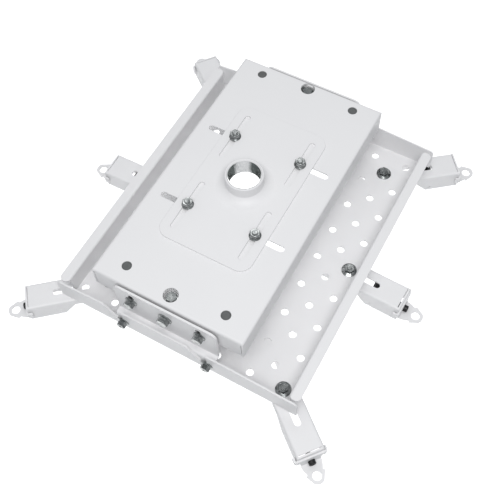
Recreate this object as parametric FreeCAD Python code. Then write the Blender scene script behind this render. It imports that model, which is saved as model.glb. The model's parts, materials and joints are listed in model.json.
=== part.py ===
import FreeCAD, Part
import math
import os

# Ceiling mount for a large projector, in millimetres, +Z up.
# The origin is on the axis of the pipe collar, at the underside of the ceiling plate.
# +Y runs along the long side of the box and tray, +X across them.

V = FreeCAD.Vector

# Ceiling plate
plate_half_x = 70.2
plate_half_y = 123.0
plate_corner = 18.0
plate_sheet = 3.0
plate_edge_round = 0.6

# Pipe collar, 1-1/2 inch pipe thread, smooth at the mean radius of the thread
thread_r = 23.15
mouth_r = 25.0
collar_r = 27.0
collar_top = 27.5
collar_rim_round = 1.0
dome_r = 41.0
dome_top = 10.0
dome_hollow = 1.2
spigot_r = 30.0
weld_gap = 0.05

# Shift slots: long ones in the plate, cross ones in the box
shift_x = 52.3
shift_y = 65.6
plate_slot_length = 84.0
box_slot_length = 87.0
shift_slot_width = 9.0

# Upper box
box_half_x = 114.0
box_near_y = -209.2
box_far_y = 207.4
box_depth = 38.0
box_sheet = 2.5
box_bend = 3.6
corner_slit = 1.2
cable_opening_half = 42.0
cable_opening_corner = 24.0
corner_hole_x = 75.0
corner_hole_near_y = -183.4
corner_hole_far_y = 189.0
corner_hole_r = 6.9
access_x = -1.5
access_near_y = -192.5
access_far_y = 196.0
access_r = 10.5

# Roll pivot and lock bolts
roll_z = -27.5
lock_bolt_x = 52.3
lock_slot_angle = 13.5
lock_slot_width = 9.0
pivot_running_gap = 0.08
spacer_thickness = 2.8
spacer_r = 9.5
block_half_x = 15.0
block_depth = 28.0
block_top = -10.5
block_bottom = -36.5
block_edge = 1.5

# End brackets
bracket_half_x = 78.0
bracket_sheet = 3.0
bracket_top = -4.0
bracket_corner = 10.0
bracket_floor = -67.0
bracket_lip_bottom = -93.0
bracket_lip_corner = 8.0
bracket_bend = 4.0
bracket_screw_x = 66.5
bracket_screw_z = -82.0

# Tray
tray_left = -162.5
tray_right = 187.5
tray_near_y = -227.5
tray_far_y = 224.0
tray_sheet = 2.5
tray_bottom = -100.5
tray_bend = 3.5
lip_top = -62.0
lip_width = 13.0
lip_near_y = -222.0
lip_far_y = 216.0
lip_tip_round = 7.0
wall_relief = 6.0
flange_mid_top = -57.0
flange_end_top = -63.0
flange_corner = 7.0
hook_ramp = 31.5
hook_ramp_round = 6.0
hook_foot = 10.0
hook_shoulder = -80.0
hook_tooth = 0.4
window_left = -75.0
window_right = 96.0
window_near_y = -141.0
window_far_y = 139.0
window_corner = 15.0

# Hole lattice of the tray base, staggered by half a pitch from column to column
lattice_pitch = 50.8
lattice_hole_r = 5.3
lattice_mid_y = -1.2
lattice_right_inset = 18.2
lattice_left_inset = 11.5
lattice_end_inset = 20.0
lattice_columns = 5
lattice_margin = 9.0

# Arms: how far each one reaches from its bolt to the outer end of its top sheet
near_right_reach = 88.0
mid_right_reach = 85.0
far_right_reach = 113.0
near_left_reach = 119.0
mid_left_reach = 137.8
far_left_reach = 119.0

# Bolt column of each arm counted inwards, end of that column, angle and reach
arms = [
    ("near_right", "right", 0, -1, -39.2, near_right_reach),
    ("mid_right", "right", 0, 0, -2.1, mid_right_reach),
    ("far_right", "right", 1, 1, 38.8, far_right_reach),
    ("near_left", "left", 1, -1, 220.3, near_left_reach),
    ("mid_left", "left", 2, 0, 181.0, mid_left_reach),
    ("far_left", "left", 1, 1, 141.5, far_left_reach),
]
arm_length = 176.0
arm_width = 39.5
arm_depth = 31.5
arm_shallow_depth = 12.0
arm_deep_length = 47.0
arm_taper_length = 17.0
arm_sheet = 2.5
arm_bend = 3.5
arm_slot_outer = 35.5
arm_slot_inner = 146.0
arm_slot_width = 9.0
arm_end_slit = 1.2
arm_pin_hole_r = 1.6
arm_pin_hole_from_end = 41.0
arm_pin_hole_drop = 24.5

# Feet
foot_sheet = 2.5
foot_gap = 1.4
foot_bend = 4.0
foot_ear_length = 6.5
foot_ear_height = 11.0
foot_top_drop = 9.5
foot_ring_reach = 25.7
foot_ring_r = 11.0
foot_hole_r = 6.3
foot_tab_half = 14.8
foot_neck_root_half = 13.6
foot_neck_half = 11.0
foot_head_half = 13.8
foot_shoulder_back = 4.3
foot_notch_short = 1.3
foot_notch_long = 7.5
foot_ring_lean = 50.0
foot_screw_above_tab = 6.5

# Fasteners
shift_bolt_r = 4.0
shift_head_r = 9.5
shift_head_height = 4.5
shift_head_rim = 1.2
shift_head_crown_r = 5.5
shift_neck = 8.0
shift_neck_corner = 2.0
shift_nut_flats = 13.0
shift_nut_flange_r = 8.5
shift_nut_height = 8.0
shift_tip = 2.0
pivot_bolt_r = 5.0
pivot_flats = 15.0
pivot_flange_r = 10.5
lock_bolt_r = 4.0
lock_flats = 13.0
lock_flange_r = 9.0
lock_nut_height = 8.0
lock_nut_flange_r = 8.5
block_screw_r = 4.75
block_screw_flats = 14.3
block_screw_head = 5.5
bracket_screw_r = 4.0
bracket_screw_flats = 12.0
bracket_screw_flange_r = 8.5
bracket_screw_head = 9.0
cross_recess = 5.0
cross_recess_width = 1.6
cross_recess_depth = 2.0
arm_bolt_r = 4.0
arm_bolt_flats = 13.0
arm_bolt_head = 6.4
arm_nut_flats = 13.0
arm_nut_flange_r = 11.0
arm_nut_height = 8.0
arm_tip = 2.0
foot_screw_r = 3.0
foot_screw_head_r = 5.0
foot_screw_head = 6.0
foot_screw_socket = 5.0
foot_screw_socket_depth = 3.0
foot_nut_flats = 10.0
foot_nut_height = 5.0
flange_rim = 1.0
flange_cone_top = 2.7
hex_chamfer = 0.7
bolt_head_height = 9.0
hole_gap = 0.3
thread_gap = 0.05
tip_chamfer = 0.8
past = 2.0

# Sizes that follow
tray_top = tray_bottom + tray_sheet
lattice_right_x = tray_right - lattice_right_inset
lattice_left_x = tray_left + lattice_left_inset
lattice_half_length = (tray_far_y - tray_near_y) / 2 - lattice_end_inset
lattice_last_row = 2 * int(lattice_half_length / lattice_pitch)
seat_r = bracket_screw_r + hole_gap
foot_half = arm_width / 2 + foot_gap + foot_sheet
foot_floor_top = tray_bottom - arm_depth
foot_seat = arm_end_slit + arm_sheet
foot_face = foot_seat + foot_sheet

PLANES = {
    "xy": (lambda a, b: V(a, b, 0), V(0, 0, 1)),
    "xz": (lambda a, b: V(a, 0, b), V(0, 1, 0)),
    "yz": (lambda a, b: V(0, a, b), V(1, 0, 0)),
}


def outline_wire(corners, point):
    # Closed outline of straight runs, each corner rounded to its own radius.
    runs = []
    for index, (a, b, radius) in enumerate(corners):
        before = corners[index - 1]
        after = corners[(index + 1) % len(corners)]
        here = point(a, b)
        back = point(before[0], before[1]) - here
        ahead = point(after[0], after[1]) - here
        back.normalize()
        ahead.normalize()
        if radius == 0:
            runs.append((here, here, here))
            continue
        half = back.getAngle(ahead) / 2
        reach = radius / math.tan(half)
        middle = back + ahead
        middle.normalize()
        apex = here + middle * (radius / math.sin(half) - radius)
        runs.append((here + back * reach, apex, here + ahead * reach))
    edges = []
    for index, (start, apex, end) in enumerate(runs):
        following = runs[(index + 1) % len(runs)][0]
        if (end - start).Length > 1e-6:
            edges.append(Part.Arc(start, apex, end).toShape())
        if (following - end).Length > 1e-6:
            edges.append(Part.LineSegment(end, following).toShape())
    return Part.Wire(edges)


def prism(plane, corners, start, end):
    # Rounded outline in one plane, drawn out between two levels of the third axis.
    point, along = PLANES[plane]
    face = Part.Face(outline_wire(corners, point))
    face.translate(along * start)
    return face.extrude(along * (end - start))


def rectangle(a0, a1, b0, b1, radius=0.0):
    return [(a0, b0, radius), (a1, b0, radius), (a1, b1, radius), (a0, b1, radius)]


def obround(length, width, x, y, z0, z1, along="x"):
    half_long = length / 2
    half_wide = width / 2
    if along == "y":
        half_long, half_wide = half_wide, half_long
    radius = min(half_long, half_wide)
    corners = rectangle(x - half_long, x + half_long, y - half_wide, y + half_wide, radius)
    return prism("xy", corners, z0, z1)


def cylinder(radius, x, y, z0, z1):
    return Part.makeCylinder(radius, z1 - z0, V(x, y, z0))


def cylinder_y(radius, x, z, y0, y1):
    return Part.makeCylinder(radius, y1 - y0, V(x, y0, z), V(0, 1, 0))


def revolved(points):
    # Turned piece from a half section of (radius, height) points about Z.
    corners = [V(radius, 0, height) for radius, height in points]
    face = Part.Face(Part.makePolygon(corners + corners[:1]))
    return face.revolve(V(0, 0, 0), V(0, 0, 1), 360)


def hexagon(flats, z0, z1):
    # Six-sided prism with a chamfer round its top.
    corner_r = flats / math.sqrt(3)
    angles = [math.radians(60 * side) for side in range(6)]
    corners = [V(corner_r * math.cos(a), corner_r * math.sin(a), z0) for a in angles]
    blank = Part.Face(Part.makePolygon(corners + corners[:1])).extrude(V(0, 0, z1 - z0))
    return blank.makeChamfer(hex_chamfer, top_edges(blank, z1))


def flanged_hexagon(flats, flange_r, height):
    # Flange at the bottom, running up in a cone to the flats of the hexagon.
    skirt = revolved([(0, 0), (flange_r, 0), (flange_r, flange_rim),
                      (flats / 2, flange_cone_top), (0, flange_cone_top)])
    return skirt.fuse(hexagon(flats, 0, height)).removeSplitter()


def flange_nut(flats, flange_r, height, bolt_r):
    nut = flanged_hexagon(flats, flange_r, height)
    return nut.cut(cylinder(bolt_r + thread_gap, 0, 0, -past, height + past))


def shank(radius, length):
    return revolved([(0, 0), (radius, 0), (radius, length - tip_chamfer),
                     (radius - tip_chamfer, length), (0, length)])


def flange_bolt(flats, flange_r, head_height, bolt_r, length):
    # The seat of the head is at height 0, the head below it, the shank above.
    head = flanged_hexagon(flats, flange_r, head_height)
    head.rotate(V(0, 0, 0), V(1, 0, 0), 180)
    return head.fuse(shank(bolt_r, length)).removeSplitter()


def placed(shape, x, y, z, facing="up"):
    turns = {"up": (V(1, 0, 0), 0), "+y": (V(1, 0, 0), -90), "-y": (V(1, 0, 0), 90)}
    axis, angle = turns[facing]
    copy = shape.copy()
    copy.rotate(V(0, 0, 0), axis, angle)
    copy.translate(V(x, y, z))
    return copy


def shift_points():
    return [(sx * shift_x, sy * shift_y) for sx in (-1, 1) for sy in (-1, 1)]


def ends():
    # Each end of the mount: box end wall, tray end, and the direction inwards.
    return [(box_near_y, tray_near_y, 1), (box_far_y, tray_far_y, -1)]


def bracket_back_y(wall_y, inward):
    return wall_y - inward * spacer_thickness


def bracket_front_y(wall_y, inward):
    return bracket_back_y(wall_y, inward) - inward * bracket_sheet


def facing_of(inward):
    return "+y" if inward > 0 else "-y"


def ceiling_plate():
    outline = rectangle(-plate_half_x, plate_half_x, -plate_half_y, plate_half_y, plate_corner)
    plate = prism("xy", outline, 0, plate_sheet)
    rim = [e for e in plate.Edges if all(abs(v.Z - plate_sheet) < 1e-6 for v in e.Vertexes)]
    plate = plate.makeFillet(plate_edge_round, rim)
    cuts = [cylinder(spigot_r + weld_gap, 0, 0, -past, plate_sheet + past)]
    for x, y in shift_points():
        cuts.append(obround(plate_slot_length, shift_slot_width, x, y,
                            -past, plate_sheet + past, "y"))
    return plate.cut(cuts)


def pipe_collar():
    # Turned in one piece: spigot through the plate, domed foot, and the threaded socket.
    mouth_depth = mouth_r - thread_r
    foot = V(dome_r, 0, plate_sheet)
    shoulder = V(collar_r, 0, dome_top)
    bulge = V((dome_r + collar_r) / 2 - dome_hollow, 0,
              (plate_sheet + dome_top) / 2 - dome_hollow)
    outline = [
        Part.LineSegment(V(thread_r, 0, 0), V(spigot_r, 0, 0)).toShape(),
        Part.LineSegment(V(spigot_r, 0, 0), V(spigot_r, 0, plate_sheet)).toShape(),
        Part.LineSegment(V(spigot_r, 0, plate_sheet), foot).toShape(),
        Part.Arc(foot, bulge, shoulder).toShape(),
        Part.LineSegment(shoulder, V(collar_r, 0, collar_top - collar_rim_round)).toShape(),
        Part.LineSegment(V(collar_r, 0, collar_top - collar_rim_round),
                         V(collar_r - collar_rim_round, 0, collar_top)).toShape(),
        Part.LineSegment(V(collar_r - collar_rim_round, 0, collar_top),
                         V(mouth_r, 0, collar_top)).toShape(),
        Part.LineSegment(V(mouth_r, 0, collar_top),
                         V(thread_r, 0, collar_top - mouth_depth)).toShape(),
        Part.LineSegment(V(thread_r, 0, collar_top - mouth_depth), V(thread_r, 0, 0)).toShape(),
    ]
    face = Part.Face(Part.Wire(outline))
    return face.revolve(V(0, 0, 0), V(0, 0, 1), 360)


def shift_bolts():
    # Round heads inside the box, square necks in the box slots, shanks up through the plate.
    top = plate_sheet + shift_nut_height + shift_tip
    head = revolved([(0, 0), (shift_head_r, 0), (shift_head_r, shift_head_rim),
                     (shift_head_crown_r, shift_head_height), (0, shift_head_height)])
    head.rotate(V(0, 0, 0), V(1, 0, 0), 180)
    head.translate(V(0, 0, -box_sheet))
    half = shift_neck / 2
    neck = prism("xy", rectangle(-half, half, -half, half, shift_neck_corner), -box_sheet, 0)
    rod = shank(shift_bolt_r, top)
    bolt = head.fuse([neck, rod]).removeSplitter()
    return [placed(bolt, x, y, 0) for x, y in shift_points()]


def shift_nuts():
    nut = flange_nut(shift_nut_flats, shift_nut_flange_r, shift_nut_height, shift_bolt_r)
    return [placed(nut, x, y, plate_sheet) for x, y in shift_points()]


def upper_box():
    # Folded pan, open below, its end walls free of the side walls by a slit at each corner.
    outer = Part.makeBox(2 * box_half_x, box_far_y - box_near_y, box_depth,
                         V(-box_half_x, box_near_y, -box_depth))
    inner = Part.makeBox(2 * (box_half_x - box_sheet), box_far_y - box_near_y - 2 * box_sheet,
                         box_depth + past, V(box_sheet - box_half_x, box_near_y + box_sheet,
                                             -box_depth - box_sheet - past))
    outer = outer.makeFillet(box_bend, top_edges(outer, 0))
    inner = inner.makeFillet(box_bend - box_sheet, top_edges(inner, -box_sheet))
    pan = outer.cut(inner)
    cuts = [prism("xy", rectangle(-cable_opening_half, cable_opening_half,
                                  -cable_opening_half, cable_opening_half,
                                  cable_opening_corner), -box_sheet - past, past)]
    for x, y in shift_points():
        cuts.append(obround(box_slot_length, shift_slot_width, x, y, -box_sheet - past, past))
    for side in (-1, 1):
        for y in (corner_hole_near_y, corner_hole_far_y):
            cuts.append(cylinder(corner_hole_r, side * corner_hole_x, y, -box_sheet - past, past))
    for y in (access_near_y, access_far_y):
        cuts.append(cylinder(access_r, access_x, y, -box_sheet - past, past))
    for wall_y, tray_y, inward in ends():
        outside = wall_y - inward * past
        inside = wall_y + inward * (box_sheet + past)
        y0, y1 = min(outside, inside), max(outside, inside)
        cuts.append(cylinder_y(pivot_bolt_r + hole_gap, 0, roll_z, y0, y1))
        for side in (-1, 1):
            cuts.append(cylinder_y(lock_bolt_r + hole_gap, side * lock_bolt_x, roll_z, y0, y1))
            wall_x = side * (box_half_x - box_sheet)
            slit = sorted([wall_x, wall_x - side * corner_slit])
            cuts.append(prism("xz", rectangle(slit[0], slit[1], -box_depth - past, -box_bend),
                              y0, y1))
    return pan.cut(cuts)


def top_edges(shape, level):
    return [e for e in shape.Edges if all(abs(v.Z - level) < 1e-6 for v in e.Vertexes)]


def pivot_blocks():
    # Steel block inside each end wall: it carries the roll pivot bolt across
    # and takes the lock screw from above.
    blocks = []
    for (wall_y, tray_y, inward), screw_y in zip(ends(), (access_near_y, access_far_y)):
        face_y = wall_y + inward * box_sheet
        deep_y = face_y + inward * block_depth
        outline = rectangle(-block_half_x, block_half_x, block_bottom, block_top, block_edge)
        block = prism("xz", outline, min(face_y, deep_y), max(face_y, deep_y))
        across = cylinder_y(pivot_bolt_r + thread_gap, 0, roll_z,
                            min(face_y, deep_y) - past, max(face_y, deep_y) + past)
        down = cylinder(block_screw_r + thread_gap, access_x, screw_y, roll_z, block_top + past)
        blocks.append(block.cut([across, down]))
    return blocks


def block_lock_screws():
    # The tip of each screw bears on the pivot bolt.
    length = block_top - (roll_z + pivot_bolt_r)
    head = hexagon(block_screw_flats, 0, block_screw_head)
    screw = head.fuse(Part.makeCylinder(block_screw_r, length, V(0, 0, -length)))
    screw = screw.removeSplitter()
    return [placed(screw, access_x, y, block_top) for y in (access_near_y, access_far_y)]


def roll_pivot_bolts():
    length = bracket_sheet + spacer_thickness + box_sheet + block_depth
    bolt = flange_bolt(pivot_flats, pivot_flange_r, bolt_head_height, pivot_bolt_r, length)
    return [placed(bolt, 0, bracket_front_y(wall_y, inward), roll_z, facing_of(inward))
            for wall_y, tray_y, inward in ends()]


def roll_lock_bolts():
    length = bracket_sheet + spacer_thickness + box_sheet + lock_nut_height + shift_tip
    bolt = flange_bolt(lock_flats, lock_flange_r, bolt_head_height, lock_bolt_r, length)
    return [placed(bolt, side * lock_bolt_x, bracket_front_y(wall_y, inward), roll_z,
                   facing_of(inward))
            for wall_y, tray_y, inward in ends() for side in (-1, 1)]


def roll_lock_nuts():
    nut = flange_nut(lock_flats, lock_nut_flange_r, lock_nut_height, lock_bolt_r)
    return [placed(nut, side * lock_bolt_x, wall_y + inward * box_sheet, roll_z,
                   facing_of(inward))
            for wall_y, tray_y, inward in ends() for side in (-1, 1)]


def roll_spacers():
    # Washers that hold the bracket off the end wall, one on each bolt.
    spacers = []
    for wall_y, tray_y, inward in ends():
        for x in (-lock_bolt_x, 0, lock_bolt_x):
            bolt_r = lock_bolt_r if x else pivot_bolt_r
            ring = Part.makeCylinder(spacer_r, spacer_thickness)
            ring = ring.cut(cylinder(bolt_r + hole_gap, 0, 0, -past, spacer_thickness + past))
            spacers.append(placed(ring, x, bracket_back_y(wall_y, inward), roll_z,
                                  facing_of(inward)))
    return spacers


def lock_slot(side, y0, y1):
    # Arc slot about the roll axis, with round ends.
    half_width = lock_slot_width / 2
    start = 0 if side > 0 else 180
    angle = 2 * lock_slot_angle
    outer = Part.makeCylinder(lock_bolt_x + half_width, y1 - y0, V(0, 0, 0), V(0, 0, 1), angle)
    inner = Part.makeCylinder(lock_bolt_x - half_width, y1 - y0, V(0, 0, 0), V(0, 0, 1), angle)
    slot = outer.cut(inner)
    for turn in (0, angle):
        x = lock_bolt_x * math.cos(math.radians(turn))
        y = lock_bolt_x * math.sin(math.radians(turn))
        slot = slot.fuse(cylinder(half_width, x, y, 0, y1 - y0))
    slot.rotate(V(0, 0, 0), V(0, 0, 1), start - lock_slot_angle)
    slot.rotate(V(0, 0, 0), V(1, 0, 0), -90)
    slot.translate(V(0, y0, roll_z))
    return slot


def end_bracket(wall_y, tray_y, inward):
    # Plate on the box end, fold, short floor, and a lip down inside the tray end.
    back = bracket_back_y(wall_y, inward)
    front = bracket_front_y(wall_y, inward)
    lip_out = tray_y + inward * tray_sheet
    lip_in = lip_out + inward * bracket_sheet
    inner_bend = bracket_bend - bracket_sheet
    floor_low = bracket_floor - bracket_sheet
    section = [
        (back, bracket_top, 0), (back, floor_low, bracket_bend), (lip_in, floor_low, inner_bend),
        (lip_in, bracket_lip_bottom, 0), (lip_out, bracket_lip_bottom, 0),
        (lip_out, bracket_floor, bracket_bend), (front, bracket_floor, inner_bend),
        (front, bracket_top, 0),
    ]
    bracket = prism("yz", section, -bracket_half_x, bracket_half_x)
    y0, y1 = min(back, lip_out) - past, max(back, lip_out) + past
    shape = [
        (-bracket_half_x, bracket_lip_bottom, bracket_lip_corner),
        (bracket_half_x, bracket_lip_bottom, bracket_lip_corner),
        (bracket_half_x, bracket_top, bracket_corner),
        (-bracket_half_x, bracket_top, bracket_corner),
    ]
    bracket = bracket.common(prism("xz", shape, y0, y1))
    cuts = [cylinder_y(pivot_bolt_r + pivot_running_gap, 0, roll_z, y0, y1)]
    for side in (-1, 1):
        cuts.append(lock_slot(side, y0, y1))
        cuts.append(cylinder_y(bracket_screw_r + hole_gap, side * bracket_screw_x,
                               bracket_screw_z, y0, y1))
    return bracket.cut(cuts)


def bracket_screws():
    # Hex flange screws with a cross recess, heads outside the tray ends.
    length = tray_sheet + bracket_sheet + lock_nut_height + shift_tip
    screw = flange_bolt(bracket_screw_flats, bracket_screw_flange_r, bracket_screw_head,
                        bracket_screw_r, length)
    floor_z = cross_recess_depth - bracket_screw_head
    half = cross_recess_width / 2
    for a, b in ((cross_recess / 2, half), (half, cross_recess / 2)):
        screw = screw.cut(prism("xy", rectangle(-a, a, -b, b), -bracket_screw_head - past, floor_z))
    return [placed(screw, side * bracket_screw_x, tray_y, bracket_screw_z, facing_of(inward))
            for wall_y, tray_y, inward in ends() for side in (-1, 1)]


def bracket_nuts():
    nut = flange_nut(bracket_screw_flats, bracket_screw_flange_r, lock_nut_height, bracket_screw_r)
    lip = tray_sheet + bracket_sheet
    return [placed(nut, side * bracket_screw_x, tray_y + inward * lip, bracket_screw_z,
                   facing_of(inward))
            for wall_y, tray_y, inward in ends() for side in (-1, 1)]


def end_flange(tray_y, inward):
    # Upright end of the tray, wider than the base, with a hook for each bracket screw.
    left = tray_left - lip_width
    right = tray_right + lip_width
    y0, y1 = sorted([tray_y, tray_y + inward * tray_sheet])
    shape = [
        (left, tray_bottom, 0), (right, tray_bottom, 0), (right, flange_end_top, flange_corner),
        (bracket_screw_x + hook_ramp, flange_mid_top, 0),
        (-bracket_screw_x - hook_ramp, flange_mid_top, 0), (left, flange_end_top, flange_corner),
    ]
    flange = prism("xz", shape, y0, y1)
    bend_start = tray_bottom + tray_bend
    under = prism("xz", rectangle(tray_left + tray_bend, tray_right - tray_bend,
                                  tray_bottom - past, bend_start), y0 - past, y1 + past)
    cuts = [under]
    for side in (-1, 1):
        x = side * bracket_screw_x
        high = flange_mid_top + past
        slope = (hook_ramp - hook_foot) / (flange_mid_top - hook_shoulder)
        notch = [
            (x - hook_foot - slope * (high - hook_shoulder), high, 0),
            (x - hook_foot, hook_shoulder, 0), (x - hook_foot, bracket_screw_z - seat_r, 0),
            (x, bracket_screw_z - seat_r, 0), (x, bracket_screw_z + seat_r, 0),
            (x - hook_tooth, bracket_screw_z + seat_r, 0), (x - hook_tooth, high, 0),
        ]
        cuts.append(prism("xz", notch, y0 - past, y1 + past))
        cuts.append(cylinder_y(seat_r, x, bracket_screw_z, y0 - past, y1 + past))
    flange = flange.cut(cuts)
    tops = [side * bracket_screw_x - hook_ramp for side in (-1, 1)]
    ramp_tops = [e for e in flange.Edges if all(
        min(abs(v.X - top) for top in tops) < 1e-4 and abs(v.Z - flange_mid_top) < 1e-4
        for v in e.Vertexes)]
    return flange.makeFillet(hook_ramp_round, ramp_tops)


def tray_walls():
    # Side walls with their bends into the base below and the lips above.
    inner_bend = tray_bend - tray_sheet
    left_in = tray_left + tray_sheet
    right_in = tray_right - tray_sheet
    lip_low = lip_top - tray_sheet
    section = [
        (tray_left - lip_width, lip_top, 0), (left_in, lip_top, tray_bend),
        (left_in, tray_top, inner_bend), (right_in, tray_top, inner_bend),
        (right_in, lip_top, tray_bend), (tray_right + lip_width, lip_top, 0),
        (tray_right + lip_width, lip_low, 0), (tray_right, lip_low, inner_bend),
        (tray_right, tray_bottom, tray_bend), (tray_left, tray_bottom, tray_bend),
        (tray_left, lip_low, inner_bend), (tray_left - lip_width, lip_low, 0),
    ]
    hat = prism("xz", section, lip_near_y, lip_far_y)
    z0, z1 = tray_bottom - past, lip_top + past
    plan = prism("xy", rectangle(tray_left, tray_right, lip_near_y + wall_relief,
                                 lip_far_y - wall_relief), z0, z1)
    lips = [prism("xy", rectangle(a, b, lip_near_y, lip_far_y, lip_tip_round), lip_low - past, z1)
            for a, b in ((tray_left - lip_width, left_in), (right_in, tray_right + lip_width))]
    return hat.common(plan.fuse(lips))


def tray_base():
    # Base with the bends at its two ends.
    inner_bend = tray_bend - tray_sheet
    up = tray_bottom + tray_bend
    near_in = tray_near_y + tray_sheet
    far_in = tray_far_y - tray_sheet
    section = [
        (tray_near_y, up, 0), (tray_near_y, tray_bottom, tray_bend),
        (tray_far_y, tray_bottom, tray_bend), (tray_far_y, up, 0),
        (far_in, up, 0), (far_in, tray_top, inner_bend),
        (near_in, tray_top, inner_bend), (near_in, up, 0),
    ]
    return prism("yz", section, tray_left + tray_bend, tray_right - tray_bend)


def lattice_point(side, column, row):
    # Columns count inwards from the outer one; rows count half pitches from the middle.
    step = lattice_pitch / 2
    x = lattice_right_x - column * step if side == "right" else lattice_left_x + column * step
    return x, lattice_mid_y + row * step


def last_row(column):
    # Odd columns are offset by half a pitch, so they end half a pitch sooner.
    return lattice_last_row - column % 2


def arm_point(side, column, end):
    return lattice_point(side, column, end * last_row(column))


def lattice_points():
    points = []
    for side in ("right", "left"):
        for column in range(lattice_columns):
            for row in range(-last_row(column), last_row(column) + 1, 2):
                points.append(lattice_point(side, column, row))
    return [p for p in points if not near_window(p)]


def near_window(point):
    inside_x = window_left - lattice_margin < point[0] < window_right + lattice_margin
    inside_y = window_near_y - lattice_margin < point[1] < window_far_y + lattice_margin
    return inside_x and inside_y


def tray():
    body = tray_base().fuse([tray_walls(), end_flange(tray_near_y, 1), end_flange(tray_far_y, -1)])
    z0, z1 = tray_bottom - past, tray_top + past
    cuts = [cylinder(lattice_hole_r, x, y, z0, z1) for x, y in lattice_points()]
    cuts.append(prism("xy", rectangle(window_left, window_right, window_near_y, window_far_y,
                                      window_corner), z0, z1))
    return body.cut(cuts).removeSplitter()


def arm_shape():
    # Inverted channel along X, shallow towards its inner end. The top sheet ends at X 0;
    # beyond a slit stands the end flap, joined to the side walls.
    half = arm_width / 2
    inner_bend = arm_bend - arm_sheet
    top = tray_bottom
    bottom = top - arm_depth
    section = [
        (-half, top, arm_bend), (-half, bottom, 0), (-half + arm_sheet, bottom, 0),
        (-half + arm_sheet, top - arm_sheet, inner_bend),
        (half - arm_sheet, top - arm_sheet, inner_bend),
        (half - arm_sheet, bottom, 0), (half, bottom, 0), (half, top, arm_bend),
    ]
    channel = prism("yz", section, -arm_length, foot_seat)
    flap = prism("yz", rectangle(-half + arm_sheet, half - arm_sheet, bottom, top - arm_sheet / 2),
                 arm_end_slit, foot_seat)
    channel = channel.fuse(flap)
    taper_start = -arm_deep_length
    taper_end = taper_start - arm_taper_length
    shallow = top - arm_shallow_depth
    below = [
        (-arm_length - past, bottom - past, 0), (taper_start + past, bottom - past, 0),
        (taper_start, bottom, 0), (taper_end, shallow, 0), (-arm_length - past, shallow, 0),
    ]
    slot_length = arm_slot_inner - arm_slot_outer
    slot_mid = -(arm_slot_inner + arm_slot_outer) / 2
    slit_half = half - arm_bend
    cuts = [
        prism("xz", below, -half - past, half + past),
        obround(slot_length, arm_slot_width, slot_mid, 0, top - arm_sheet - past, top + past),
        prism("xy", rectangle(0, arm_end_slit, -slit_half, slit_half),
              top - arm_sheet - past, top + past),
        cylinder_y(arm_pin_hole_r, -arm_pin_hole_from_end, top - arm_pin_hole_drop,
                   -half - past, half + past),
        foot_screw_hole(),
    ]
    return channel.cut(cuts).removeSplitter()


def foot_shape():
    # Plate against the end flap with an ear round each side, and a ring tab folded out below.
    top = tray_bottom - foot_top_drop
    tab_low = foot_floor_top - foot_sheet
    inner_bend = foot_bend - foot_sheet
    inner_half = foot_half - foot_sheet
    ear_end = foot_seat - foot_ear_length
    plan = [
        (ear_end, -foot_half, 0), (foot_face, -foot_half, foot_bend),
        (foot_face, foot_half, foot_bend), (ear_end, foot_half, 0),
        (ear_end, inner_half, 0), (foot_seat, inner_half, inner_bend),
        (foot_seat, -inner_half, inner_bend), (ear_end, -inner_half, 0),
    ]
    wrap = prism("xy", plan, top - foot_ear_height, top)
    side = [
        (foot_seat, top, 0), (foot_seat, tab_low, foot_bend),
        (foot_face + foot_bend, tab_low, 0), (foot_face + foot_bend, foot_floor_top, 0),
        (foot_face, foot_floor_top, inner_bend), (foot_face, top, 0),
    ]
    stem = prism("xz", side, -foot_tab_half, foot_tab_half)
    cuts = [cylinder(foot_hole_r, foot_ring_reach, 0, tab_low - past, foot_floor_top + past),
            foot_screw_hole()]
    return wrap.fuse([stem, foot_tab()]).cut(cuts).removeSplitter()


def foot_tab():
    # Flat tab: slight taper, a notch each side, then shoulders that run to the ring.
    start = foot_seat + foot_bend
    shoulder = foot_ring_reach - foot_shoulder_back
    lean = math.radians(foot_ring_lean)
    upper = [V(start, foot_tab_half, 0), V(shoulder - foot_notch_long, foot_neck_root_half, 0),
             V(shoulder - foot_notch_short, foot_neck_half, 0), V(shoulder, foot_head_half, 0),
             V(foot_ring_reach + foot_ring_r * math.sin(lean), foot_ring_r * math.cos(lean), 0)]
    lower = [V(p.x, -p.y, 0) for p in reversed(upper)]
    edges = [Part.LineSegment(a, b).toShape() for a, b in zip(upper, upper[1:])]
    front = V(foot_ring_reach + foot_ring_r, 0, 0)
    edges.append(Part.Arc(upper[-1], front, lower[0]).toShape())
    edges += [Part.LineSegment(a, b).toShape() for a, b in zip(lower, lower[1:])]
    edges.append(Part.LineSegment(lower[-1], upper[0]).toShape())
    face = Part.Face(Part.Wire(edges))
    face.translate(V(0, 0, foot_floor_top - foot_sheet))
    return face.extrude(V(0, 0, foot_sheet))


def foot_screw_hole():
    z = foot_floor_top + foot_screw_above_tab
    length = 2 * past + arm_sheet + foot_sheet
    return Part.makeCylinder(foot_screw_r + hole_gap, length, V(arm_end_slit - past, 0, z),
                             V(1, 0, 0))


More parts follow.
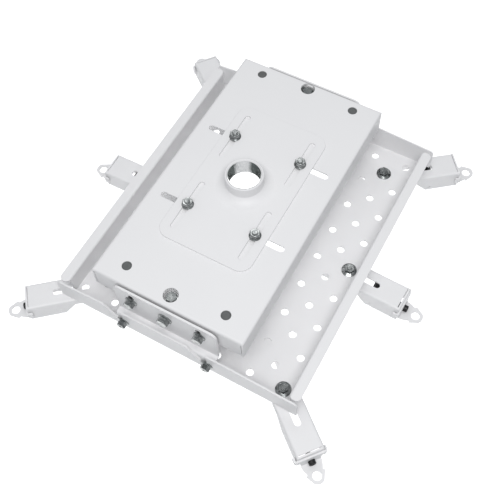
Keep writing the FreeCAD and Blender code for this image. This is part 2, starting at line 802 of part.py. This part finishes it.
def foot_screw():
    # Black socket head screw through the foot plate and the end flap, with a nut behind.
    reach = foot_sheet + arm_sheet + foot_nut_height
    head = Part.makeCylinder(foot_screw_head_r, foot_screw_head)
    rim = [e for e in head.Edges if all(v.Z > foot_screw_head / 2 for v in e.Vertexes)]
    head = head.makeChamfer(tip_chamfer, rim)
    socket = hexagon(foot_screw_socket, foot_screw_head - foot_screw_socket_depth,
                     foot_screw_head + past)
    rod = Part.makeCylinder(foot_screw_r, reach + shift_tip, V(0, 0, -reach - shift_tip))
    screw = head.fuse(rod).cut(socket)
    nut = hexagon(foot_nut_flats, -reach, -reach + foot_nut_height)
    nut = nut.cut(cylinder(foot_screw_r + thread_gap, 0, 0, -reach - past, 0))
    pieces = []
    for piece in (screw, nut):
        piece.rotate(V(0, 0, 0), V(0, 1, 0), 90)
        piece.translate(V(foot_face, 0, foot_floor_top + foot_screw_above_tab))
        pieces.append(piece)
    return Part.makeCompound(pieces)


def at_arm(shape, side, column, end, angle, reach):
    # From the outer end of the arm at X 0 to its place round its bolt.
    x, y = arm_point(side, column, end)
    copy = shape.copy()
    copy.translate(V(reach, 0, 0))
    copy.rotate(V(0, 0, 0), V(0, 0, 1), angle)
    copy.translate(V(x, y, 0))
    return copy


def arm_bolt(side, column, end):
    x, y = arm_point(side, column, end)
    seat = tray_bottom - arm_sheet
    length = arm_sheet + tray_sheet + arm_nut_height + arm_tip
    bolt = flange_bolt(arm_bolt_flats, arm_nut_flange_r, arm_bolt_head, arm_bolt_r, length)
    return placed(bolt, x, y, seat)


def arm_nut(side, column, end):
    x, y = arm_point(side, column, end)
    nut = flange_nut(arm_nut_flats, arm_nut_flange_r, arm_nut_height, arm_bolt_r)
    return placed(nut, x, y, tray_top)


def nodes():
    made = {
        "ceiling_plate": ceiling_plate(),
        "pipe_collar": pipe_collar(),
        "shift_bolts": shift_bolts(),
        "shift_nuts": shift_nuts(),
        "upper_box": upper_box(),
        "pivot_blocks": pivot_blocks(),
        "block_lock_screws": block_lock_screws(),
        "roll_pivot_bolts": roll_pivot_bolts(),
        "roll_lock_bolts": roll_lock_bolts(),
        "roll_lock_nuts": roll_lock_nuts(),
        "roll_spacers": roll_spacers(),
        "near_end_bracket": end_bracket(*ends()[0]),
        "far_end_bracket": end_bracket(*ends()[1]),
        "bracket_screws": bracket_screws(),
        "bracket_nuts": bracket_nuts(),
        "tray": tray(),
    }
    arm = arm_shape()
    foot = foot_shape()
    screw = foot_screw()
    for name, side, column, end, angle, reach in arms:
        made["arm_" + name] = at_arm(arm, side, column, end, angle, reach)
        made["foot_" + name] = at_arm(foot, side, column, end, angle, reach)
        made["foot_screw_" + name] = at_arm(screw, side, column, end, angle, reach)
        made["arm_bolt_" + name] = arm_bolt(side, column, end)
        made["arm_nut_" + name] = arm_nut(side, column, end)
    return made


os.makedirs("parts", exist_ok=True)
for node_name, node_shape in nodes().items():
    if isinstance(node_shape, list):
        node_shape = Part.makeCompound(node_shape)
    node_shape.exportStep("parts/" + node_name + ".step")
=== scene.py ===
import bpy
import bmesh
import json
from math import pi, radians, tau
from mathutils import Matrix, Vector

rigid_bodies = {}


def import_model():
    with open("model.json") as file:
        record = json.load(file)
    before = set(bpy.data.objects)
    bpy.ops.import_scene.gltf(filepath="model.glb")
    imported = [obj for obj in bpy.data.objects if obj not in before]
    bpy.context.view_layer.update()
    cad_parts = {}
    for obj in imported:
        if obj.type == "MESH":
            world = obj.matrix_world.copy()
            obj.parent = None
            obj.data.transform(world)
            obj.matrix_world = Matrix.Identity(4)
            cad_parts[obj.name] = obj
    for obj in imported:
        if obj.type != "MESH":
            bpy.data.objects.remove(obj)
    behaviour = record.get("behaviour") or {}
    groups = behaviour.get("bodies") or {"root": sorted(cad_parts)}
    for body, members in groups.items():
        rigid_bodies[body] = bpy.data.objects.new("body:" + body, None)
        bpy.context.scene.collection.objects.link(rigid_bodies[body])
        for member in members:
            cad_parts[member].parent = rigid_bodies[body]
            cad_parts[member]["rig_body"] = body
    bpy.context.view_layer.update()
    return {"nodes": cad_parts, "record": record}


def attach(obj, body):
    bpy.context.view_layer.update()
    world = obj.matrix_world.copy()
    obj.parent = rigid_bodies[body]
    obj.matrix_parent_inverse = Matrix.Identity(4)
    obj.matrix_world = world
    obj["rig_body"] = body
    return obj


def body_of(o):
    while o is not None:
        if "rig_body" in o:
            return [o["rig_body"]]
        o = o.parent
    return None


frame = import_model()
nodes = frame["nodes"]
record = frame["record"]
joints = {joint["name"]: joint for joint in record["behaviour"]["joints"]}
rings = {mount["name"]: mount["pos_m"] for mount in record["mounts"]}
mm = 0.001
tiny = 0.01 * mm
print("frame loaded,", len(nodes), "nodes")


class Wire:
    # One output of a node, so that shader sums read as plain Python.
    def __init__(self, finish, socket):
        self.finish = finish
        self.socket = socket

    def calc(self, operation, first, second):
        return self.finish.add("ShaderNodeMath", {"operation": operation}, {0: first, 1: second})

    def __add__(self, other):
        return self.calc("ADD", self, other)

    def __radd__(self, other):
        return self.calc("ADD", other, self)

    def __sub__(self, other):
        return self.calc("SUBTRACT", self, other)

    def __rsub__(self, other):
        return self.calc("SUBTRACT", other, self)

    def __mul__(self, other):
        return self.calc("MULTIPLY", self, other)

    def __rmul__(self, other):
        return self.calc("MULTIPLY", other, self)


class Finish:
    # One material: every node comes from add, and surface closes it.
    def __init__(self, name):
        self.material = bpy.data.materials.new(name)
        self.material.use_nodes = True
        self.tree = self.material.node_tree
        self.tree.nodes.clear()

    def add(self, kind, settings=None, sockets=None, out=0):
        node = self.tree.nodes.new(kind)
        for key, value in (settings or {}).items():
            setattr(node, key, value)
        for key, value in (sockets or {}).items():
            if isinstance(value, Wire):
                self.tree.links.new(value.socket, node.inputs[key])
            else:
                node.inputs[key].default_value = value
        return Wire(self, node.outputs[out])

    def place(self):
        return self.add("ShaderNodeTexCoord", out="Object")

    def noise(self, place, scale, detail=2.0, rough=0.5):
        return self.add("ShaderNodeTexNoise", None,
                        {"Vector": place, "Scale": scale, "Detail": detail, "Roughness": rough})

    def between(self, value, low, high):
        # 0 at the low value, 1 at the high one
        return self.add("ShaderNodeMapRange", None,
                        {"Value": value, "From Min": low, "From Max": high})

    def blendColours(self, factor, first, second):
        # sockets 6 and 7 are the colour pair of the Mix node, and output 2 its colour
        return self.add("ShaderNodeMix", {"data_type": "RGBA"},
                        {0: factor, 6: (*first, 1.0), 7: (*second, 1.0)}, 2)

    def bump(self, height, strength, distance):
        return self.add("ShaderNodeBump", None,
                        {"Height": height, "Strength": strength, "Distance": distance})

    def surface(self, sockets):
        shader = self.add("ShaderNodeBsdfPrincipled", None, sockets)
        end = self.tree.nodes.new("ShaderNodeOutputMaterial")
        self.tree.links.new(shader.socket, end.inputs["Surface"])
        return self.material


whiteCoatLook = {
    "light": (0.805, 0.80, 0.805),
    "shade": (0.78, 0.775, 0.785),
    "roughness": 0.40,
    "roughnessSpread": 0.10,
    "cloudPerMetre": 11.0,
    "cloudDetail": 3.0,
    "grainPerMetre": 1100.0,
    "grainStrength": 0.35,
    "grainHeight": 0.04 * mm,
}


def whiteCoatFinish(look):
    # powder coat: hardly any change of colour, with a fine grain
    finish = Finish("whiteCoat")
    place = finish.place()
    cloud = finish.noise(place, look["cloudPerMetre"], look["cloudDetail"])
    grain = finish.noise(place, look["grainPerMetre"])
    return finish.surface({
        "Base Color": finish.blendColours(cloud, look["light"], look["shade"]),
        "Roughness": cloud * look["roughnessSpread"] + look["roughness"],
        "Normal": finish.bump(grain, look["grainStrength"], look["grainHeight"]),
        "Metallic": 0.0,
    })


zincLook = {
    "light": (0.47, 0.485, 0.48),
    "dark": (0.15, 0.16, 0.162),
    "roughness": 0.12,
    "roughnessSpread": 0.14,
    "patchPerMetre": 130.0,
    "patchDetail": 4.0,
    "patchRough": 0.6,
    "patchLow": 0.32,
    "patchHigh": 0.66,
    "grainPerMetre": 2600.0,
    "grainStrength": 0.4,
    "grainHeight": 0.03 * mm,
}


def zincFinish(look):
    # bright zinc on the bolts and nuts, cloudy in small patches
    finish = Finish("zincPlate")
    place = finish.place()
    cloud = finish.noise(place, look["patchPerMetre"], look["patchDetail"], look["patchRough"])
    patch = finish.between(cloud, look["patchLow"], look["patchHigh"])
    grain = finish.noise(place, look["grainPerMetre"])
    return finish.surface({
        "Base Color": finish.blendColours(patch, look["light"], look["dark"]),
        "Roughness": patch * look["roughnessSpread"] + look["roughness"],
        "Normal": finish.bump(grain, look["grainStrength"], look["grainHeight"]),
        "Metallic": 1.0,
    })


blackLook = {
    "light": (0.010, 0.010, 0.011),
    "dark": (0.003, 0.003, 0.0035),
    "roughness": 0.34,
    "roughnessSpread": 0.20,
    "patchPerMetre": 240.0,
    "patchDetail": 3.0,
    "metallic": 0.0,
}
# dark grey for the discs in the box's corner holes: painted shade
paintedHoleShadeLook = {
    "light": (0.15, 0.155, 0.155),
    "dark": (0.105, 0.11, 0.11),
    "roughness": 0.55,
    "roughnessSpread": 0.15,
    "patchPerMetre": 180.0,
    "patchDetail": 3.0,
    "metallic": 0.2,
}


def patchyFinish(name, look):
    # two tones in soft patches, rougher where it is darker
    finish = Finish(name)
    patch = finish.noise(finish.place(), look["patchPerMetre"], look["patchDetail"])
    return finish.surface({
        "Base Color": finish.blendColours(patch, look["light"], look["dark"]),
        "Roughness": patch * look["roughnessSpread"] + look["roughness"],
        "Metallic": look["metallic"],
    })


# light and dark are the two tones of the bore's painted reflection bands, broken up by a soft
# noise
bareSteelLook = {
    "light": (0.97, 0.97, 0.97),
    "dark": (0.16, 0.18, 0.175),
    "roughness": 0.20,
    "roughnessSpread": 0.15,
    "patchPerMetre": 60.0,
    "patchDetail": 3.0,
    "linesPerMetre": 420.0,
    "lineWander": 5.0,
    "lineDetail": 2.0,
    "lineShare": 0.4,
    "lineStrength": 0.3,
    "lineHeight": 0.03 * mm,
    "bands": 3.0,
    "bandTurn": 65.0,
    "bandSwing": 0.5,
    "bandPatch": 0.4,
    "bandBase": 0.3,
    "bandLow": 0.25,
    "bandHigh": 0.62,
}


def bareSteelFinish(look):
    # fine cutter lines that run across the height, broken up by a soft noise
    finish = Finish("bareSteel")
    place = finish.place()
    lines = finish.add("ShaderNodeTexWave", {"wave_type": "BANDS", "bands_direction": "Z"},
                       {"Vector": place, "Scale": look["linesPerMetre"],
                        "Distortion": look["lineWander"], "Detail": look["lineDetail"]}, 1)
    patch = finish.noise(place, look["patchPerMetre"], look["patchDetail"])
    tone = lines * look["lineShare"] + patch * (1 - look["lineShare"])
    # painted reflection: bright and dark bands down the bore, spaced evenly round it
    sweep = finish.add("ShaderNodeTexGradient", {"gradient_type": "RADIAL"}, {"Vector": place}, 1)
    angle = sweep * (look["bands"] * tau) - look["bands"] * (pi + radians(look["bandTurn"]))
    swing = angle.calc("COSINE", angle, 0.0) * look["bandSwing"]
    paintedReflection = swing + patch * look["bandPatch"] + look["bandBase"]
    band = finish.between(paintedReflection, look["bandLow"], look["bandHigh"])
    return finish.surface({
        "Base Color": finish.blendColours(band, look["light"], look["dark"]),
        "Roughness": tone * look["roughnessSpread"] + look["roughness"],
        "Normal": finish.bump(lines, look["lineStrength"], look["lineHeight"]),
        "Metallic": 1.0,
    })


finishes = {
    "white_coat": whiteCoatFinish(whiteCoatLook),
    "zinc_steel": zincFinish(zincLook),
    "black_steel": patchyFinish("blackOxide", blackLook),
    "bare_steel": bareSteelFinish(bareSteelLook),
}
# the painted shade of the box's corner holes
paintedHoleShade = patchyFinish("paintedHoleShade", paintedHoleShadeLook)

for subpart in record["subparts"]:
    cadPiece = nodes[subpart["node"]]
    for holder in cadPiece.material_slots:
        holder.material = finishes[subpart["material_slot"]]
print("finishes laid on the metal")


def addObject(name, data):
    thing = bpy.data.objects.new(name, data)
    bpy.context.scene.collection.objects.link(thing)
    return thing


def meshFrom(name, mesh):
    data = bpy.data.meshes.new(name)
    mesh.to_mesh(data)
    mesh.free()
    return data


def bodyOf(node):
    return body_of(nodes[node])[0]


def facing(place, direction):
    # Z turned to the direction, then moved to the place, which is in millimetres
    turn = Vector(direction).to_track_quat("Z", "Y").to_matrix().to_4x4()
    return Matrix.Translation(Vector(place) * mm) @ turn


def addTo(group, part, turn):
    # moves a part to its place and takes it into the group
    bmesh.ops.transform(part, matrix=turn, verts=part.verts)
    data = meshFrom("part", part)
    group.from_mesh(data)
    bpy.data.meshes.remove(data)


def pieceFrom(name, mesh, slotName, body, material=None):
    # turns a bmesh that is in its final place into an object that rides on a body
    bmesh.ops.remove_doubles(mesh, verts=mesh.verts, dist=tiny)
    bmesh.ops.recalc_face_normals(mesh, faces=mesh.faces)
    piece = addObject(name, meshFrom(name, mesh))
    piece.data.materials.append(material or finishes[slotName])
    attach(piece, body)


# a thread's section: each part is a share of the pitch, and sink is the depth into the metal;
# spareTurns are wound past the two heights and then cut off
threadForm = {
    "sink": 0.35 * mm,
    "sinkParts": (0.02, 0.98),
    "rootParts": (0.06, 0.94),
    "crestParts": (0.42, 0.58),
    "spareTurns": 1.5,
}


def threadRidge(mesh, size):
    # a helical ridge between two heights, its section wound up the Z axis, ends cut flat
    rootR = size["rootR"]
    crestR = size["crestR"]
    pitch = size["pitch"]
    sinkR = rootR + threadForm["sink"] * (1 if crestR < rootR else -1)
    levels = [(sinkR, "sinkParts"), (rootR, "rootParts"), (crestR, "crestParts")]
    section = [(radius, threadForm[parts][0]) for radius, parts in levels]
    section += [(radius, threadForm[parts][1]) for radius, parts in reversed(levels)]
    start = size["low"] - pitch
    turns = (size["high"] - size["low"]) / pitch + threadForm["spareTurns"]
    steps = int(turns * size["stepsPerTurn"])
    rim = [mesh.verts.new((radius, 0, start + part * pitch)) for radius, part in section]
    loop = [mesh.edges.new((a, b)) for a, b in zip(rim, rim[1:] + rim[:1])]
    rise = Vector((0, 0, turns * pitch / steps))
    bmesh.ops.spin(mesh, geom=loop, cent=(0, 0, 0), axis=(0, 0, 1), dvec=rise,
                   angle=turns * tau, steps=steps)
    for height, up in ((size["low"], -1), (size["high"], 1)):
        bmesh.ops.bisect_plane(mesh, geom=mesh.verts[:] + mesh.edges[:] + mesh.faces[:],
                               plane_co=(0, 0, height), plane_no=(0, 0, up), clear_outer=True)
    openEdges = [edge for edge in mesh.edges if edge.is_boundary]
    bmesh.ops.holes_fill(mesh, edges=openEdges)


collarThread = {
    "rootR": 23.12 * mm,
    "crestR": 22.4 * mm,
    "pitch": 2.209 * mm,
    "low": 0.4 * mm,
    "high": 25.2 * mm,
    "stepsPerTurn": 72,
}


def buildCollarThread(size):
    mesh = bmesh.new()
    threadRidge(mesh, size)
    pieceFrom("collar_thread", mesh, "bare_steel", "plate")


buildCollarThread(collarThread)
print("collar thread cut")

# the turns of thread that stand out past a nut, on the 8 mm bolts and the 6 mm screws
eightTip = {
    "rootR": 4.0 * mm,
    "crestR": 4.35 * mm,
    "pitch": 1.25 * mm,
    "low": 0.02 * mm,
    "high": 1.2 * mm,
    "stepsPerTurn": 32,
}
sixTip = {
    "rootR": 3.0 * mm,
    "crestR": 3.28 * mm,
    "pitch": 1.0 * mm,
    "low": 0.02 * mm,
    "high": 1.2 * mm,
    "stepsPerTurn": 32,
}
# where the tips start, in millimetres; footX is measured from an arm's outer end, and
# ringReach is how far a foot's ring lies past that end
boltSeats = {
    "shiftX": 52.3,
    "shiftY": 65.6,
    "shiftZ": 11.0,
    "lockX": 52.3,
    "lockZ": -27.5,
    "lockNearY": -198.7,
    "lockFarY": 196.9,
    "bracketX": 66.5,
    "bracketZ": -82.0,
    "bracketNearY": -214.0,
    "bracketFarY": 210.5,
    "armZ": -90.0,
    "footX": -3.8,
    "footZ": -125.5,
    "ringReach": 25.7,
}
arms = ["near_right", "mid_right", "far_right", "near_left", "mid_left", "far_left"]
sides = (-1, 1)


def threadGroup(name, slotName, body, size, places):
    # one piece with the tip of each bolt in the list of places
    group = bmesh.new()
    for place in places:
        tip = bmesh.new()
        threadRidge(tip, size)
        addTo(group, tip, place)
    pieceFrom(name, group, slotName, body)


def inwardSeats(x, z, nearY, farY):
    # a bolt on each side of both ends of the mount, its tip pointing into the mount
    return [facing((side * x, y, z), (0, inward, 0))
            for side in sides for y, inward in ((nearY, 1), (farY, -1))]


def armTurn(name):
    # from an arm drawn along X with its outer end at 0 to its place in the mount
    out = Vector(joints["reach_" + name]["axis"])
    end = Vector(rings["ring_" + name]) - out * boltSeats["ringReach"] * mm
    return Matrix.Translation((end.x, end.y, 0)) @ out.to_track_quat("X", "Z").to_matrix().to_4x4()


def buildThreads(seats):
    shift = [facing((sideX * seats["shiftX"], sideY * seats["shiftY"], seats["shiftZ"]), (0, 0, 1))
             for sideX in sides for sideY in sides]
    threadGroup("shift_bolt_threads", "zinc_steel", bodyOf("shift_bolts"), eightTip, shift)
    lock = inwardSeats(seats["lockX"], seats["lockZ"], seats["lockNearY"], seats["lockFarY"])
    threadGroup("roll_lock_threads", "zinc_steel", bodyOf("roll_lock_bolts"), eightTip, lock)
    bracket = inwardSeats(seats["bracketX"], seats["bracketZ"],
                          seats["bracketNearY"], seats["bracketFarY"])
    threadGroup("bracket_screw_threads", "zinc_steel", bodyOf("bracket_screws"), eightTip, bracket)
    for name in arms:
        bolt = Vector(joints["swing_" + name]["pos_m"]) / mm
        boltTip = facing((bolt.x, bolt.y, seats["armZ"]), (0, 0, 1))
        threadGroup("arm_bolt_thread_" + name, "zinc_steel", bodyOf("arm_bolt_" + name),
                    eightTip, [boltTip])
        screwTip = armTurn(name) @ facing((seats["footX"], 0, seats["footZ"]), (-1, 0, 0))
        threadGroup("foot_screw_thread_" + name, "black_steel", bodyOf("foot_screw_" + name),
                    sixTip, [screwTip])


buildThreads(boltSeats)
print("bolt tips threaded")

# x, y and top are in millimetres
cornerHoleShade = {
    "x": 75.0,
    "y": (-183.4, 189.0),
    "top": -0.9,
    "radius": 6.85 * mm,
    "thick": 1.5 * mm,
    "dish": 0.5 * mm,
    "rim": 1.1 * mm,
    "chamfer": 0.2 * mm,
    "steps": 48,
}


def buildCornerHoleShade(size):
    # a shallow dished dark disc sits in each corner hole of the box, painted shade for the shaded
    # inside seen down the hole
    group = bmesh.new()
    radius = size["radius"]
    chamfer = size["chamfer"]
    inner = radius - size["rim"]
    profile = [(0, -size["thick"]), (radius, -size["thick"]), (radius, -chamfer),
               (radius - chamfer, 0), (inner, 0), (inner - size["dish"], -size["dish"]),
               (0, -size["dish"])]
    for side in sides:
        for y in size["y"]:
            disc = bmesh.new()
            points = [disc.verts.new((away, 0, height)) for away, height in profile]
            line = [disc.edges.new(pair) for pair in zip(points, points[1:])]
            bmesh.ops.spin(disc, geom=points + line, cent=(0, 0, 0), axis=(0, 0, 1), angle=tau,
                           steps=size["steps"], use_merge=True)
            addTo(group, disc, facing((side * size["x"], y, size["top"]), (0, 0, 1)))
    # the discs take the record's zinc slot but carry the painted shade colour
    pieceFrom("corner_hole_shade", group, "zinc_steel", bodyOf("upper_box"), paintedHoleShade)


buildCornerHoleShade(cornerHoleShade)
print("corner holes plugged")

# fromEnd and height are in millimetres
slotBar = {
    "arms": ("mid_right", "mid_left", "far_right"),
    "fromEnd": 39.5,
    "height": -118.7,
    "radius": 7.0 * mm,
    "length": 34.5 * mm,
    "rim": 0.6 * mm,
    "rimSteps": 3,
    "steps": 40,
}


def buildSlotBars(size):
    # dark bar across the inside of an arm, seen through the outer end of its slot
    for name in size["arms"]:
        mesh = bmesh.new()
        bmesh.ops.create_cone(mesh, cap_ends=True, cap_tris=False, segments=size["steps"],
                              radius1=size["radius"], radius2=size["radius"],
                              depth=size["length"])
        ends = [edge for edge in mesh.edges
                if abs(edge.verts[0].co.z - edge.verts[1].co.z) < tiny]
        bmesh.ops.bevel(mesh, geom=ends, offset=size["rim"], affect="EDGES",
                        segments=size["rimSteps"], profile=0.5, material=-1, clamp_overlap=True)
        turn = armTurn(name) @ facing((-size["fromEnd"], 0, size["height"]), (0, 1, 0))
        bmesh.ops.transform(mesh, matrix=turn, verts=mesh.verts)
        pieceFrom("slot_bar_" + name, mesh, "black_steel", bodyOf("arm_" + name))


buildSlotBars(slotBar)
print("slot bars set")

cameraSetup = {
    "place": (0.3177, -0.5168, 0.8956),
    "right": (0.8748, 0.4840, -0.0230),
    "up": (-0.4122, 0.7684, 0.4898),
    "lens": 56.02,
    "sensor": 36.0,
}


def addCamera(setup):
    right = Vector(setup["right"]).normalized()
    up = Vector(setup["up"])
    up = (up - right * up.dot(right)).normalized()
    back = right.cross(up)
    data = bpy.data.cameras.new("viewCamera")
    data.lens = setup["lens"]
    data.sensor_width = setup["sensor"]
    camera = addObject("viewCamera", data)
    turn = Matrix((right, up, back)).transposed().to_4x4()
    camera.matrix_world = Matrix.Translation(setup["place"]) @ turn
    bpy.context.scene.camera = camera


addCamera(cameraSetup)

lightSetup = {
    "sky": (0.94, 0.97, 1.0),
    "skyStrength": 0.42,
    "keyPlace": (0.6, -0.95, 2.45),
    "keySize": 1.9,
    "keyPower": 47.0,
    "backPlace": (-0.65, 1.1, 2.3),
    "backSize": 0.9,
    "backPower": 4.5,
    "floorLightPlace": (-0.4, 0.7, -0.6),
    "floorLightAim": (-0.4, 0.7, -3.0),
    "floorLightSize": 4.6,
    "floorLightPower": 66.0,
}


def addAreaLight(name, place, size, power, aim=(0, 0, 0)):
    data = bpy.data.lights.new(name, "AREA")
    data.shape = "DISK"
    data.size = size
    data.energy = power
    lamp = addObject(name, data)
    lamp.location = place
    lamp.rotation_euler = (Vector(aim) - Vector(place)).to_track_quat("-Z", "Y").to_euler()
    return lamp


def addLights(setup):
    world = bpy.data.worlds.new("studio")
    world.use_nodes = True
    sky = world.node_tree.nodes["Background"]
    sky.inputs["Color"].default_value = (*setup["sky"], 1.0)
    sky.inputs["Strength"].default_value = setup["skyStrength"]
    bpy.context.scene.world = world
    addAreaLight("keyLight", setup["keyPlace"], setup["keySize"], setup["keyPower"])
    addAreaLight("backLight", setup["backPlace"], setup["backSize"], setup["backPower"])
    low = addAreaLight("floorLight", setup["floorLightPlace"], setup["floorLightSize"],
                       setup["floorLightPower"], setup["floorLightAim"])
    low.visible_camera = False


addLights(lightSetup)


def paintFrom(name, light, dark, perMetre, roughness):
    paint = Finish(name)
    tone = paint.noise(paint.place(), perMetre)
    return paint.surface({
        "Base Color": paint.blendColours(tone, light, dark),
        "Roughness": roughness,
    })


def addSheet(name, wide, high, turn, material):
    # a flat stage sheet, drawn round the middle of its own plane
    mesh = bmesh.new()
    bmesh.ops.create_grid(mesh, x_segments=1, y_segments=1, size=0.5)
    bmesh.ops.scale(mesh, verts=mesh.verts, vec=(wide, high, 1))
    bmesh.ops.transform(mesh, verts=mesh.verts, matrix=turn)
    sheet = addObject(name, meshFrom(name, mesh))
    sheet.data.materials.append(material)
    return sheet


# each card has a place, a width and a height
darkCards = {
    "cards": [((-1.9, 0.1, 1.0), 0.9, 1.6), ((1.2, 1.7, 1.3), 0.7, 1.4)],
    "light": (0.012, 0.012, 0.012),
    "dark": (0.008, 0.008, 0.008),
    "patchPerMetre": 3.0,
    "roughness": 0.8,
}


def addDarkCards(setup):
    # black cards beside the mount, out of the camera's sight, that give metal its dark streaks
    black = paintFrom("cardPaint", setup["light"], setup["dark"], setup["patchPerMetre"],
                      setup["roughness"])
    for number, (place, wide, high) in enumerate(setup["cards"]):
        turn = (-Vector(place)).to_track_quat("Z", "Y").to_matrix().to_4x4()
        card = addSheet("darkCard" + str(number), wide, high,
                        Matrix.Translation(place) @ turn, black)
        card.visible_camera = False
        card.visible_shadow = False
        card.visible_diffuse = False


addDarkCards(darkCards)

floorSetup = {
    "light": (0.95, 0.95, 0.95),
    "dark": (0.9405, 0.9405, 0.9405),
    "patchPerMetre": 2.0,
    "roughness": 0.9,
    "size": 14.0,
    "drop": 1.7,
}


def addFloor(setup):
    white = paintFrom("floorPaint", setup["light"], setup["dark"], setup["patchPerMetre"],
                      setup["roughness"])
    addSheet("floor", setup["size"], setup["size"],
             Matrix.Translation((0, 0, -setup["drop"])), white)


addFloor(floorSetup)
bpy.context.scene.view_settings.view_transform = "Standard"
print("camera, lights and floor set")
